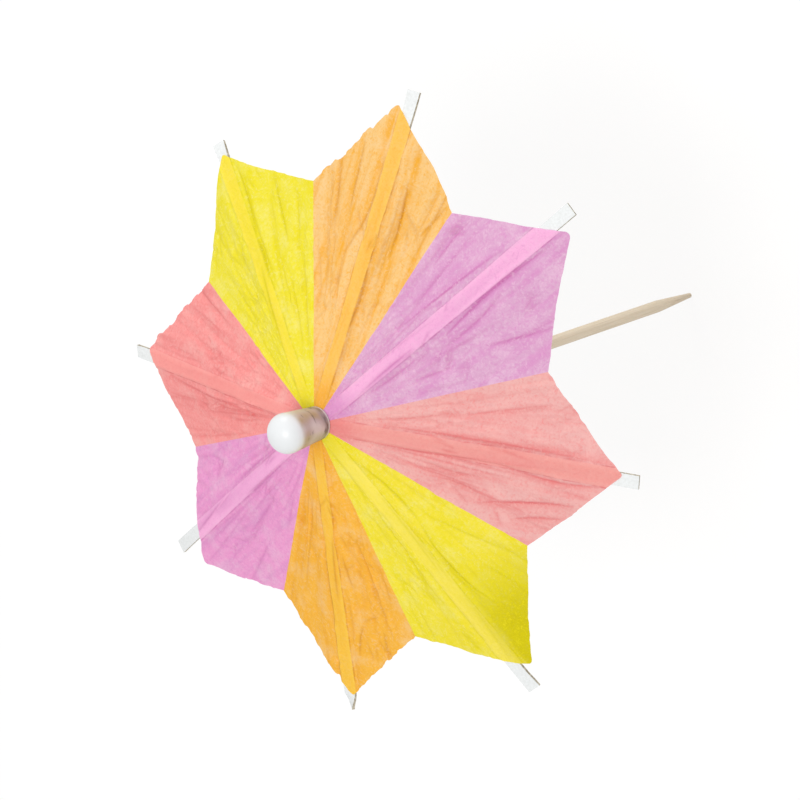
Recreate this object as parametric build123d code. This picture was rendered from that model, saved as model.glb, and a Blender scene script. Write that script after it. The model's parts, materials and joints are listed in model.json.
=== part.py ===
from build123d import *
import os
from math import acos, atan2, cos, degrees, hypot, radians, sin, tan

# Paper parasol on a wooden pick, standing on its point, open.
# Millimetres and degrees. The origin is the point of the pick, and +Z runs up the stick to the cap.

# Wooden stick
stick_length = 100.0
stick_diameter = 1.85
stick_top_diameter = 1.75  # the stick is drawn finer from the shank up to the crown
point_length = 9.5
point_end_diameter = 0.75
shank_length = 36.0  # parallel part above the point

# Card ribs, cut as one comb and rolled round the stick at the crown
rib_count = 8
rib_length = 43.7  # crease to free end, before the end is trimmed
rib_trims = (-0.8, 0.4, 0.3, -1.4, -1.8, 0.9, 1.4, 0.7)  # each end is cut a little longer or shorter
rib_root_width = 1.04
rib_end_width = 1.9
rib_card = 0.4
rib_leans = (0.0, 4.0, -4.0, -1.5, 3.1, -2.5, -0.5, -3.0)  # each rib is glued a little askew
open_angle = 73.5  # from the stick to a rib of the open parasol
hinge_radius = 1.6  # circle of the creases, the same on both collars
crown_depth = 5.3  # creases below the upper end of the stick
crease_room = 0.05  # between a crease and the card above it

# Card stretchers, a second comb rolled into the sliding runner
stretcher_reach = 19.0  # crown crease to stretcher crease, along the rib
stretcher_width = 1.0
stretcher_card = 0.3
tab_length = 3.5  # glued end under the rib
tab_setback = 1.1  # keeps the tab clear of the folded stretcher

# Collars and the newsprint rolled inside them
crown_collar_length = 4.5
runner_length = 6.0
glue_gap = 0.02
slide_clearance = 0.06  # runner on the stick

# Plastic ring under the runner
ring_length = 1.8
ring_wall = 0.85
ring_clearance = 0.03
ring_gap = 0.1  # between the ring and the runner above it

# Plastic cap
cap_length = 8.6
cap_wall = 0.45  # at the rim
cap_top_diameter = 5.5
cap_dome = 2.3  # height of the rounded top
cap_gate_diameter = 0.6  # small flat left by moulding
cap_seat_gap = 0.05  # over the collar and over the end of the stick

# Tissue star, one gore on each rib
tissue_thickness = 0.1
tissue_reach = 41.4  # crown crease to the point of a gore
tip_rounding = 1.2
valley_radius = 31.3  # from the stick to the notch between two gores
valley_slit = 1.6  # left open at the notch so that the pleats can pass
eye_radius = 3.0  # hole round the crown
eye_slit = 0.26  # the same opening at the hole
pleat_gap = 0.05  # from the glued strip to the pleat beside it

# Heights and fits that follow from the sizes
sector = 360 / rib_count
rib_top = rib_card / 2
tissue_top = rib_top + tissue_thickness
crown_hinge_height = stick_length - crown_depth
stretcher_drop = rib_card / 2 + crease_room + stretcher_card / 2
runner_hinge_height = crown_hinge_height - 2 * (
    stretcher_reach * cos(radians(open_angle)) + stretcher_drop * sin(radians(open_angle))
)
crown_bottom = crown_hinge_height + rib_card / 2 + crease_room
crown_outer = hinge_radius + rib_card / 2
crown_inner = hinge_radius - rib_card / 2
runner_top = runner_hinge_height - stretcher_card / 2 - crease_room
runner_bottom = runner_top - runner_length
runner_outer = hinge_radius + stretcher_card / 2
runner_inner = hinge_radius - stretcher_card / 2
apex_height = crown_hinge_height + (
    tissue_top + hinge_radius * cos(radians(open_angle))
) / sin(radians(open_angle))
valley_slope = 1 / (tan(radians(open_angle)) * cos(radians(sector / 2)))


def turned(points):
    return revolve(Plane.XZ * make_face(Polyline(*points, close=True)), Axis.Z)


def tube(inner, outer, bottom, top):
    return turned([(inner, bottom), (outer, bottom), (outer, top), (inner, top)])


def radial(index):
    azimuth = radians(sector * index)
    return Vector(cos(azimuth), sin(azimuth), 0)


def tangent(index):
    return Vector(0, 0, 1).cross(radial(index))


def crown_crease(index):
    return radial(index) * hinge_radius + Vector(0, 0, crown_hinge_height)


def runner_crease(index):
    return radial(index) * hinge_radius + Vector(0, 0, runner_hinge_height)


def rib_plane(index):
    # x runs out along the rib, z stands on its upper face
    lean = radians(rib_leans[index])
    tilt = radians(open_angle)
    slope = radial(index) * sin(tilt) - Vector(0, 0, cos(tilt))
    normal = radial(index) * cos(tilt) + Vector(0, 0, sin(tilt))
    return Plane(crown_crease(index), slope * cos(lean) + tangent(index) * sin(lean), normal)


def tissue_plane(index):
    return rib_plane(index).offset(tissue_top)


def stretcher_crease(index):
    along = stretcher_reach / cos(radians(rib_leans[index]))
    return rib_plane(index).from_local_coords(Vector(along, 0, -stretcher_drop))


def knuckle(centre, index, radius, width):
    return Plane(centre, z_dir=tangent(index)) * Cylinder(radius, width)


# Stick, collars, ring and cap, all turned about the stick


def pick():
    radius = stick_diameter / 2
    return turned([
        (0, 0),
        (point_end_diameter / 2, 0),
        (radius, point_length),
        (radius, point_length + shank_length),
        (stick_top_diameter / 2, stick_length),
        (0, stick_length),
    ])


def finial_cap():
    bore = crown_outer + glue_gap
    socket = stick_diameter / 2 + glue_gap
    seat = crown_bottom + crown_collar_length + cap_seat_gap
    socket_end = stick_length + cap_seat_gap
    shoulder = (0, crown_bottom + cap_length - cap_dome)
    turn = degrees(acos(cap_gate_diameter / cap_top_diameter))
    dome = EllipticalCenterArc(shoulder, cap_top_diameter / 2, cap_dome, arc_size=turn)
    outline = Polyline(
        dome @ 1,
        (0, (dome @ 1).Y),
        (0, socket_end),
        (socket, socket_end),
        (socket, seat),
        (bore, seat),
        (bore, crown_bottom),
        (bore + cap_wall, crown_bottom),
        dome @ 0,
    )
    return revolve(Plane.XZ * make_face(outline + dome), Axis.Z)


def retaining_ring():
    bore = stick_diameter / 2 + ring_clearance
    top = runner_bottom - ring_gap
    return tube(bore, bore + ring_wall, top - ring_length, top)


def crown_collar():
    return tube(crown_inner, crown_outer, crown_bottom, crown_bottom + crown_collar_length)


def crown_roll():
    bore = stick_diameter / 2 + glue_gap
    return tube(bore, crown_inner - glue_gap, crown_bottom, crown_bottom + crown_collar_length)


def runner_collar():
    return tube(runner_inner, runner_outer, runner_bottom, runner_top)


def runner_roll():
    bore = stick_diameter / 2 + slide_clearance
    return tube(bore, runner_inner - glue_gap, runner_bottom, runner_top)


# Ribs and stretchers


def rib_outline(index):
    length = rib_length + rib_trims[index]
    half_end = (rib_root_width + (rib_end_width - rib_root_width) * length / rib_length) / 2
    return make_face(Polyline(
        (0, -rib_root_width / 2),
        (length, -half_end),
        (length, half_end),
        (0, rib_root_width / 2),
        close=True,
    ))


def rib(index):
    strip = rib_plane(index) * extrude(rib_outline(index), rib_card / 2, both=True)
    return strip + knuckle(crown_crease(index), index, rib_card / 2, rib_root_width)


def stretcher(index):
    low, high = runner_crease(index), stretcher_crease(index)
    run = high - low
    flat = Plane(low, run, run.cross(tangent(index)))
    outline = Rectangle(run.length, stretcher_width, align=(Align.MIN, Align.CENTER))
    strip = flat * extrude(outline, stretcher_card / 2, both=True)
    ends = [knuckle(end, index, stretcher_card / 2, stretcher_width) for end in (low, high)]
    return strip + ends


def stretcher_tab(index):
    start = stretcher_reach / cos(radians(rib_leans[index])) + tab_setback
    pad = Box(tab_length, stretcher_width, stretcher_card, align=(Align.MIN, Align.CENTER, Align.MAX))
    return rib_plane(index) * Pos(start, 0, -rib_card / 2) * pad


# Tissue gores, drawn flat on the rib and folded down along its two edges


def valley_point(index, side, radius, slit):
    # on the flat face between two ribs, half a slit short of the middle of the face
    azimuth = radians(sector * (index + side / 2)) - side * slit / 2 / radius
    height = apex_height - radius * valley_slope
    return Vector(radius * cos(azimuth), radius * sin(azimuth), height)


def pleat_line(side):
    # start and direction of the edge that a pleat turns on, and the way across it
    start = Vector(0, side * (rib_root_width / 2 + pleat_gap))
    along = Vector(rib_length, side * (rib_end_width - rib_root_width) / 2).normalized()
    across = Vector(-along.Y, along.X) * side
    return start, along, across


def unfolded(index, side, point):
    # a point of the folded pleat, laid out flat in the rib's plane, and the angle that it was turned by
    start, along, across = pleat_line(side)
    local = tissue_plane(index).to_local_coords(point) - start
    out = local.dot(across)
    flat = start + along * local.dot(along) + across * hypot(out, local.Z)
    return flat, degrees(atan2(local.Z, out))


def pleat_angle(index, side):
    return unfolded(index, side, valley_point(index, side, valley_radius, valley_slit))[1]


def gore_outline(index):
    lean = radians(rib_leans[index])
    tip = Vector(tissue_reach * cos(lean), -tissue_reach * sin(lean))
    notch = {s: unfolded(index, s, valley_point(index, s, valley_radius, valley_slit))[0] for s in (1, -1)}
    eye = {s: unfolded(index, s, valley_point(index, s, eye_radius, eye_slit))[0] for s in (1, -1)}
    face = make_face(Polyline(eye[-1], notch[-1], tip, notch[1], eye[1], close=True))
    return fillet(face.vertices().sort_by_distance(tip)[0], tip_rounding)


def tissue_strip(index):
    face = gore_outline(index) & rib_outline(index)
    return tissue_plane(index) * extrude(face, tissue_thickness, dir=(0, 0, -1))


def tissue_panel(index, side):
    start, along, across = pleat_line(side)
    beyond = Rectangle(
        4 * rib_length, 2 * rib_length, align=(Align.CENTER, Align.MIN if side > 0 else Align.MAX)
    )
    face = gore_outline(index) & (Plane(start, along, (0, 0, 1)) * beyond)
    flat = extrude(face, tissue_thickness, dir=(0, 0, -1))
    folded = flat.rotate(Axis(start, along * side), pleat_angle(index, side))
    return tissue_plane(index) * folded


pieces = {
    "pick": pick(),
    "finial_cap": finial_cap(),
    "crown_collar": crown_collar(),
    "crown_roll": crown_roll(),
    "runner_collar": runner_collar(),
    "runner_roll": runner_roll(),
    "retaining_ring": retaining_ring(),
}
for index in range(rib_count):
    number = index + 1
    pieces[f"rib_{number}"] = rib(index)
    pieces[f"stretcher_{number}"] = stretcher(index)
    pieces[f"stretcher_tab_{number}"] = stretcher_tab(index)
    pieces[f"tissue_strip_{number}"] = tissue_strip(index)
    pieces[f"tissue_panel_{number}_left"] = tissue_panel(index, 1)
    pieces[f"tissue_panel_{number}_right"] = tissue_panel(index, -1)

os.makedirs("parts", exist_ok=True)
for name, piece in pieces.items():
    export_step(piece, f"parts/{name}.step")
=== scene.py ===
import json
from math import cos, pi, radians, sin

import bpy
import numpy as np
from mathutils import Matrix, Vector, noise


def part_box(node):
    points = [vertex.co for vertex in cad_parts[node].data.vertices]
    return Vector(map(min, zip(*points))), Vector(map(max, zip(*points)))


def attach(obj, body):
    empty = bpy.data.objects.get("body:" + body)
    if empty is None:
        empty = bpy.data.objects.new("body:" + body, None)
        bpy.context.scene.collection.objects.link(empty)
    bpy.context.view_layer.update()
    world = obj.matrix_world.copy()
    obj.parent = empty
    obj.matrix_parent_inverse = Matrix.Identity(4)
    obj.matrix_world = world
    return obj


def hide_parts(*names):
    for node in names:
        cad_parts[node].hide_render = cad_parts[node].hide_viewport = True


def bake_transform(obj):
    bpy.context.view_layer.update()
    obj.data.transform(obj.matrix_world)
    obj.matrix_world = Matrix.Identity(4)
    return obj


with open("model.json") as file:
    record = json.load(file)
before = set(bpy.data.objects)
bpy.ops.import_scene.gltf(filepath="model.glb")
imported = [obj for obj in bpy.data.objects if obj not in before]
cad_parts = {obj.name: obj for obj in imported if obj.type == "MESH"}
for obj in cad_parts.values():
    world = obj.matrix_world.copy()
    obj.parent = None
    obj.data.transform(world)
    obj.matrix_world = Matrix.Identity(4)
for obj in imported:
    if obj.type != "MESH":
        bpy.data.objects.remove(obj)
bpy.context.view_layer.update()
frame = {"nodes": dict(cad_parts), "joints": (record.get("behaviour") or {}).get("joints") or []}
joints = {j["name"]: j for j in frame["joints"]}
mm = 0.001
ribCount = 8
print("frame loaded:", len(frame["nodes"]), "solids")


def linear(hexColour):
    parts = [int(hexColour[i:i + 2], 16) / 255 for i in (1, 3, 5)]
    return tuple(c / 12.92 if c <= 0.04045 else ((c + 0.055) / 1.055) ** 2.4 for c in parts) + (1.0,)


# settings of the nodes below; a map range takes sockets 1 and 2 to 3 and 4, a colour mix blends 6 with 7 by 0
add, subtract, multiply = ({"operation": word} for word in ("ADD", "SUBTRACT", "MULTIPLY"))
multiplyAdd, absolute, larger = ({"operation": word} for word in ("MULTIPLY_ADD", "ABSOLUTE", "MAXIMUM"))
multiplyClamped = {"operation": "MULTIPLY", "use_clamp": True}
colourMix = {"data_type": "RGBA"}
eased = {"interpolation_type": "SMOOTHSTEP"}


def plug(tree, node, inputs):
    for key, value in inputs.items():
        if isinstance(key, tuple):  # several sockets at once
            plug(tree, node, dict(zip(key, value)))
            continue
        if isinstance(value, bpy.types.Node):  # a node stands for its result
            value = value.outputs[2 if value.bl_idname == "ShaderNodeMix" else 0]
        if isinstance(value, bpy.types.NodeSocket):
            tree.links.new(value, node.inputs[key])
        else:
            node.inputs[key].default_value = linear(value) if isinstance(value, str) else value


def addNode(tree, kind, settings=None, inputs=None, stops=None):
    node = tree.nodes.new("ShaderNode" + kind)
    for key, value in (settings or {}).items():
        setattr(node, key, value)
    plug(tree, node, inputs or {})
    if stops:  # places and colours of a colour ramp
        ramp = node.color_ramp.elements
        while len(ramp) < len(stops):
            ramp.new(0.5)
        for element, (place, colour) in zip(ramp, stops):
            element.position = place
            element.color = linear(colour)
    return node


def newMaterial(name, **sockets):
    material = bpy.data.materials.new(name)
    material.use_nodes = True
    tree = material.node_tree
    shader = tree.nodes["Principled BSDF"]
    plug(tree, shader, {key.replace("_", " "): value for key, value in sockets.items()})
    return material, tree, shader


def grainFinish(name, grain, stops, stretch=None, bump=None, **sockets):
    # noise colours the surface through a ramp and may also roughen it; bump is a strength and a depth in mm
    material, tree, shader = newMaterial(name, **sockets)
    place = addNode(tree, "TexCoord").outputs["Object"]
    if stretch:
        place = addNode(tree, "Mapping", inputs={0: place, "Scale": stretch})
    pattern = addNode(tree, "TexNoise", inputs={"Vector": place, **grain})
    plug(tree, shader, {"Base Color": addNode(tree, "ValToRGB", inputs={0: pattern}, stops=stops)})
    if bump:
        strength, depth = bump
        plug(tree, shader, {"Normal": addNode(tree, "Bump", inputs={
            "Strength": strength, "Distance": depth * mm, "Height": pattern})})
    return material


def meshPiece(name, points, faces, materials, slots=None, smooth=True):
    mesh = bpy.data.meshes.new(name)
    mesh.from_pydata([tuple(p) for p in points], [], faces)
    for material in materials:
        mesh.materials.append(material)
    if slots is not None:
        mesh.polygons.foreach_set("material_index", slots)
    mesh.polygons.foreach_set("use_smooth", [smooth] * len(mesh.polygons))
    mesh.update()
    piece = bpy.data.objects.new(name, mesh)
    bpy.context.scene.collection.objects.link(piece)
    return piece


def smooth(value, low, high):
    t = np.clip((value - low) / (high - low), 0, 1)
    return t * t * (3 - 2 * t)


# Where the ribs lie, read from the joints of the frame. All lengths in metres.

ribs = []
for k in range(1, ribCount + 1):
    left, right = joints[f"pleat_{k}_left_fold"], joints[f"pleat_{k}_right_fold"]
    leftStart, rightStart = Vector(left["pos_m"]), Vector(right["pos_m"])
    leftAlong, rightAlong = Vector(left["axis"]).normalized(), -Vector(right["axis"]).normalized()
    along = (leftAlong + rightAlong).normalized()
    across = (leftStart - rightStart).normalized()
    ribs.append({
        "number": k,
        "azimuth": 2 * pi * (k - 1) / ribCount,
        "start": (leftStart + rightStart) / 2,  # over the crease, level with the tissue
        "along": along,
        "across": across,
        "up": along.cross(across),
        "halfRoot": (leftStart - rightStart).length / 2,
        "taper": leftAlong.dot(across) / leftAlong.dot(along),
        "pleat": {1: (leftStart, leftAlong), -1: (rightStart, rightAlong)},
    })

firstRib = ribs[0]
ribFall = -firstRib["along"].z / Vector(firstRib["along"].xy).length  # drop per metre of radius
apexHeight = firstRib["start"].z + Vector(firstRib["start"].xy).length * ribFall
faceFall = ribFall / cos(pi / ribCount)  # the same down the middle between two ribs


def onRib(rib, x, y, z):
    return rib["start"] + rib["along"] * x + rib["across"] * y + rib["up"] * z


# Tissue paper star. Azimuths in degrees from the first rib, counter-clockwise from above, lengths in mm.
# notch is the one between this gore and the next, round the rounding of the point. Of the left and the right
# cut edge, ragged says how rough they are and bow how far they curve outward. tent is how far past the rib
# the paper turns down, turns how dark the painted shade line is there on the left and on the right, bands how
# strong the streaks of dye are and relief the painted shade and highlight of the crinkles. tipShade is
# painted shade towards the point, on the left half.

# field and strip colours differ between gores of one dye partly as painted light and shade, as the light fell
# on each gore
goreLooks = {
    1: {"tip": (0.9, 40.5), "notch": (22.5, 31.5), "round": 0.6, "ragged": (0.5, 0.6), "bow": (-0.35, 0.15),
        "tent": 0.55, "dye": "coral", "field": "#f0b5b1", "strip": "#f4a59d",
        "turns": (0.8, 1.0), "bands": 0.4, "relief": 1.0},
    2: {"tip": (45.8, 41.7), "notch": (67.8, 31.9), "round": 1.0, "ragged": (0.4, 0.4), "bow": (0.0, -0.35),
        "tent": 0.40, "dye": "violet", "field": "#e0adcf", "strip": "#fdbde3",
        "turns": (0.6, 1.0), "bands": 0.7, "relief": 1.25},
    3: {"tip": (88.5, 41.5), "notch": (110.0, 31.2), "round": 0.7, "ragged": (2.0, 0.4), "bow": (0.0, 0.4),
        "tent": 0.30, "dye": "orange", "field": "#f9cb83", "strip": "#ffca5c",
        "turns": (0.5, 1.0), "bands": 0.95, "relief": 1.2},
    4: {"tip": (133.3, 40.2), "notch": (156.6, 29.6), "round": 0.6, "ragged": (0.7, 0.8), "bow": (0.15, -0.3),
        "tent": 0.25, "dye": "yellow", "field": "#f2e542", "strip": "#fce74a",
        "turns": (0.2, 0.9), "bands": 0.7, "relief": 1.3},
    5: {"tip": (181.7, 38.6), "notch": (204.4, 31.5), "round": 0.8, "ragged": (1.3, 1.7), "bow": (0.4, 0.1),
        "tent": 0.35, "dye": "coral", "field": "#fd9f9c", "strip": "#ffa9a3",
        "turns": (1.0, 0.25), "bands": 0.6, "relief": 1.0},
    6: {"tip": (228.3, 40.9), "notch": (248.8, 32.2), "round": 0.5, "ragged": (1.2, 1.2), "bow": (0.3, 0.25),
        "tent": 0.35, "dye": "violet", "field": "#f3a2d3", "strip": "#ffbfe6",
        "turns": (0.8, 0.1), "bands": 0.6, "relief": 1.0},
    7: {"tip": (270.4, 42.6), "notch": (290.7, 32.1), "round": 0.5, "ragged": (1.4, 1.6), "bow": (-0.1, 0.35),
        "tent": 0.25, "dye": "orange", "field": "#fdbd45", "strip": "#ffd04c",
        "turns": (0.9, 0.9), "bands": 0.7, "relief": 1.1},
    8: {"tip": (315.3, 41.0), "notch": (337.2, 30.8), "round": 0.9, "ragged": (0.5, 1.0), "bow": (-0.25, 0.3),
        "tent": 0.40, "dye": "yellow", "field": "#f8e642", "strip": "#ffed68",
        "turns": (1.0, 0.15), "bands": 0.7, "relief": 1.2, "tipShade": 1.0},
}

dyeShades = {  # where the dye pooled, also painted shade; where it is thin, also painted highlight; and the painted shade down in a crease
    "yellow": ("#efe024", "#f7ee8d", "#d4c600"),
    "orange": ("#f6b038", "#f9d29b", "#cb811a"),
    "violet": ("#dd93c8", "#f0c9e0", "#c866a8"),
    "coral": ("#f08c8a", "#fbc1ba", "#d96064"),
}

# patterns are counted per mm of the flat sheet, distances are in mm, levels are those of the noise
paperMake = {
    "streaks": (0.06, 0.75, 1),  # along and across the rib: about 17 mm long and 1.3 mm wide
    "streakLevels": (0.47, 0.66),
    "rubs": 0.23,  # pale places about 4 mm wide
    "rubLevels": (0.50, 0.72),
    "rubShare": 0.6,
    "crinkles": 3.3,  # about 0.3 mm wide
    "crumples": 1.45,  # about 0.7 mm wide
    "hollowLevels": (0.98, 0.72),
    "hollowShadeShare": 0.6,
    "ridgeLevels": (1.02, 1.28),
    "ridgeHighlightShare": 0.42,
    "ribCalm": 0.42,  # how much of the crumples is left where the paper is glued to a rib
    "tipCalm": -0.85,  # how much of the painted ridge highlights the painted shade at a point takes away
    "ribHalf": 0.53,  # of the rib at its root
    "ribTaper": 0.01,  # more per mm along it
    "tentShare": 0.8,  # of the tent that still looks glued
    "stripEdge": (0.12, -0.02),
    "stripShare": 0.92,
    "stripLevels": (0.45, 0.64),
    "stripFaded": (1.0, 0.75),
    "linePlace": 0.13,  # past the edge of the strip
    "lineEdge": (0.15, 0.02),
    "lineShare": 0.7,
    "lineSides": (-0.3, 0.3),
    "breaks": 0.35,  # pieces of line about 3 mm long
    "breakLevels": (0.38, 0.62),
    "breakFaded": (0.15, 1.0),
    "tipFrom": (22.0, 36.0),
    "tipAcross": (0.0, 2.5),
    "tipFaded": (0.15, 1.0),
    "bunchShadeFrom": (6.0, 1.5),  # along the rib, towards the hub
    "bunchShadeShare": 0.75,
    "bandShare": 0.95,
    "foldShadeShare": 0.72,
    "bump": 0.07 * mm,
    "bumpStrength": 0.85,
    "glow": 0.3,  # share of the light that comes through
}


def tissuePaper(look, name):
    # dyed tissue paper, machine made and crumpled: matt, lets light through, darker streaks and pale rubs
    make = paperMake
    pooledAndShaded, thinAndLit, shade = dyeShades[look["dye"]]
    material, tree, shader = newMaterial(name, Roughness=0.82, Specular_IOR_Level=0.25, IOR=1.45)
    flat = addNode(tree, "UVMap", {"uv_map": "cutPattern"})  # millimetres on the flat sheet
    place = addNode(tree, "SeparateXYZ", inputs={0: flat})
    along, across = place.outputs["X"], place.outputs["Y"]
    long = addNode(tree, "Mapping", inputs={0: flat, "Scale": make["streaks"]})
    streak = addNode(tree, "TexNoise", inputs={"Vector": long, "Scale": 1.0, "Detail": 4.0})
    streakAmount = addNode(tree, "MapRange", inputs={
        0: streak, (1, 2): make["streakLevels"], 4: look["bands"]})
    dark = addNode(tree, "Mix", colourMix, {0: streakAmount, 6: look["field"], 7: pooledAndShaded})
    rub = addNode(tree, "TexNoise", inputs={"Vector": flat, "Scale": make["rubs"], "Detail": 5.0})
    rubAmount = addNode(tree, "MapRange", inputs={0: rub, (1, 2): make["rubLevels"], 4: make["rubShare"]})
    pale = addNode(tree, "Mix", colourMix, {0: rubAmount, 6: dark, 7: thinAndLit})
    # lighter strip over the card rib below, up to the edge of the rib and a little past it: painted light
    # that the white card sends back through the paper
    side = addNode(tree, "Math", absolute, {0: across})
    edge = addNode(tree, "Math", multiplyAdd, {
        0: along, 1: make["ribTaper"], 2: make["ribHalf"] + look["tent"] * make["tentShare"]})
    past = addNode(tree, "Math", subtract, {0: side, 1: edge})
    strip = addNode(tree, "MapRange", eased, {0: past, (1, 2): make["stripEdge"], 4: make["stripShare"]})
    stripStreak = addNode(tree, "MapRange", inputs={
        0: streak, (1, 2): make["stripLevels"], (3, 4): make["stripFaded"]})
    stripAmount = addNode(tree, "Math", multiply, {0: strip, 1: stripStreak})
    stripLit = addNode(tree, "Mix", colourMix, {0: stripAmount, 6: pale, 7: look["strip"]})
    # broken dark line of painted shade where the paper turns down off the rib, darker on the side given by
    # turns
    turn = addNode(tree, "Math", subtract, {0: past, 1: make["linePlace"]})
    turnSide = addNode(tree, "Math", absolute, {0: turn})
    line = addNode(tree, "MapRange", eased, {0: turnSide, (1, 2): make["lineEdge"], 4: make["lineShare"]})
    breaks = addNode(tree, "TexNoise", {"noise_dimensions": "1D"}, {
        "W": along, "Scale": make["breaks"], "Detail": 2.0})
    breakAmount = addNode(tree, "MapRange", inputs={
        0: breaks, (1, 2): make["breakLevels"], (3, 4): make["breakFaded"]})
    lineSide = addNode(tree, "MapRange", inputs={0: across, (1, 2): make["lineSides"], (4, 3): look["turns"]})
    lineBroken = addNode(tree, "Math", multiply, {0: line, 1: breakAmount})
    turnShadeAmount = addNode(tree, "Math", multiply, {0: lineBroken, 1: lineSide})
    turnShaded = addNode(tree, "Mix", colourMix, {0: turnShadeAmount, 6: stripLit, 7: shade})
    # painted shade towards the point, where the paper curls away
    tipMark = addNode(tree, "MapRange", eased, {0: along, (1, 2): make["tipFrom"]})
    tipSide = addNode(tree, "MapRange", inputs={
        0: across, (1, 2): make["tipAcross"], (3, 4): make["tipFaded"]})
    tipAmount = addNode(tree, "Math", multiply, {0: tipMark, 1: tipSide})
    tipShare = addNode(tree, "Math", multiply, {0: tipAmount, 1: look.get("tipShade", 0.0)})
    tipShaded = addNode(tree, "Mix", colourMix, {0: tipShare, 6: turnShaded, 7: shade})
    # darker round the hub: painted shade of the cap, and partly deeper dye where the paper is bunched
    bunchAndShade = addNode(tree, "MapRange", eased, {0: along, (1, 2): make["bunchShadeFrom"], 4: make["bunchShadeShare"]})
    bunchedAndShaded = addNode(tree, "Mix", colourMix, {0: bunchAndShade, 6: tipShaded, 7: pooledAndShaded})
    # creases: painted shade, a soft tone on the shaded side and a dark line in the fold, the line partly
    # deeper dye where the paper doubles
    bandMark = addNode(tree, "Attribute", {"attribute_name": "creaseShade"})
    bandAmount = addNode(tree, "Math", multiplyClamped, {0: bandMark.outputs["Fac"], 1: make["bandShare"]})
    bandShaded = addNode(tree, "Mix", colourMix, {0: bandAmount, 6: bunchedAndShaded, 7: pooledAndShaded})
    foldShadeMark = addNode(tree, "Attribute", {"attribute_name": "creaseFoldShade"})
    foldShadeAmount = addNode(tree, "Math", multiplyClamped, {0: foldShadeMark.outputs["Fac"], 1: make["foldShadeShare"]})
    foldShaded = addNode(tree, "Mix", colourMix, {0: foldShadeAmount, 6: bandShaded, 7: shade})
    # crumples with crinkles on them: painted shade in the hollows and painted highlight on the ridges, less
    # over a rib
    crinkle = addNode(tree, "TexNoise", inputs={
        "Vector": flat, "Scale": make["crinkles"], "Detail": 5.0, "Roughness": 0.62, "Distortion": 0.8})
    crumple = addNode(tree, "TexNoise", inputs={
        "Vector": flat, "Scale": make["crumples"], "Detail": 3.0, "Distortion": 1.5})
    relief = addNode(tree, "Math", add, {0: crinkle, 1: crumple})
    loose = addNode(tree, "MapRange", inputs={0: strip, 3: 1.0, 4: make["ribCalm"]})
    hollow = addNode(tree, "MapRange", inputs={
        0: relief, (1, 2): make["hollowLevels"], 4: make["hollowShadeShare"] * look["relief"]})
    hollowAmount = addNode(tree, "Math", multiply, {0: hollow, 1: loose})
    hollowShaded = addNode(tree, "Mix", colourMix, {0: hollowAmount, 6: foldShaded, 7: pooledAndShaded})
    ridge = addNode(tree, "MapRange", inputs={
        0: relief, (1, 2): make["ridgeLevels"], 4: make["ridgeHighlightShare"] * look["relief"]})
    calm = addNode(tree, "Math", multiplyAdd, {0: tipShare, 1: make["tipCalm"], 2: 1.0})
    ridgeLoose = addNode(tree, "Math", multiply, {0: ridge, 1: loose})
    ridgeAmount = addNode(tree, "Math", multiply, {0: ridgeLoose, 1: calm})
    colour = addNode(tree, "Mix", colourMix, {0: ridgeAmount, 6: hollowShaded, 7: thinAndLit})
    bump = addNode(tree, "Bump", inputs={
        "Strength": make["bumpStrength"], "Distance": make["bump"], "Height": relief})
    plug(tree, shader, {"Base Color": colour, "Normal": bump})
    glow = addNode(tree, "BsdfTranslucent", inputs={"Color": colour, "Normal": bump})
    both = addNode(tree, "MixShader", inputs={0: make["glow"], 1: shader, 2: glow})
    plug(tree, tree.nodes["Material Output"], {"Surface": both})
    return material


edgeMake = {  # cut edge of a gore; a wave has its height in mm and its count per mm
    "steps": 150,
    "cornerSteps": 14,
    "notchCalm": 1.5 * mm,  # the edge runs straight into the notch
    "tipCalm": 1.0 * mm,
    "waver": (0.10, 0.35),
    "flutter": (0.07, 1.3),
    "nick": (0.09, 0.45),
    "nickLevel": 0.28,
    "rough": 1.4,
}


def planPoint(azimuth, radius):
    a = radians(azimuth)
    return np.array([cos(a), sin(a)]) * radius * mm


def notchAt(k, side):
    # each gore holds the notch on its left, the one on its right belongs to the gore before
    return goreLooks[k if side > 0 else (k - 2) % ribCount + 1]["notch"]


def cutEdge(rib):
    # the gore's cut edge seen from above, from the notch on its right round the tip to the notch on its left
    make = edgeMake
    k = rib["number"]
    look = goreLooks[k]
    azimuth, radius = look["tip"]
    tip = planPoint(azimuth, radius + look["round"] / 2)
    rounding = look["round"] * mm
    halves = {}
    for side, rough, bow in zip((1, -1), look["ragged"], look["bow"]):
        run = planPoint(*notchAt(k, side)) - tip
        length = np.linalg.norm(run)
        run = run / length
        outward = np.array([run[1], -run[0]]) * side
        points = []
        for s in np.linspace(rounding, length, make["steps"]):
            near = min(1.0, (length - s) / make["notchCalm"]) * min(1.0, (s - rounding) / make["tipCalm"])
            height, count = make["waver"]
            wobble = height * noise.noise((s / mm * count, k * 7.3, side * 3.1))
            height, count = make["flutter"]
            wobble += height * noise.noise((s / mm * count, k * 3.7, side * 5.9))
            if rough > 1:
                height, count = make["nick"]
                nick = noise.noise((s / mm * count, k * 9.1, side * 2.3))
                wobble += height * ((nick > make["nickLevel"]) - (nick < -make["nickLevel"]))
            curve = bow * sin(pi * min(1.0, s / length))
            points.append(tip + run * s + outward * (wobble * rough * near * make["rough"] + curve) * mm)
        halves[side] = points
    corner = []
    a, b = halves[-1][0], halves[1][0]
    for t in np.linspace(0, 1, make["cornerSteps"])[1:-1]:
        corner.append(a * (1 - t) ** 2 + tip * 2 * t * (1 - t) + b * t ** 2)
    return np.array(halves[-1][::-1] + corner + halves[1])


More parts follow.
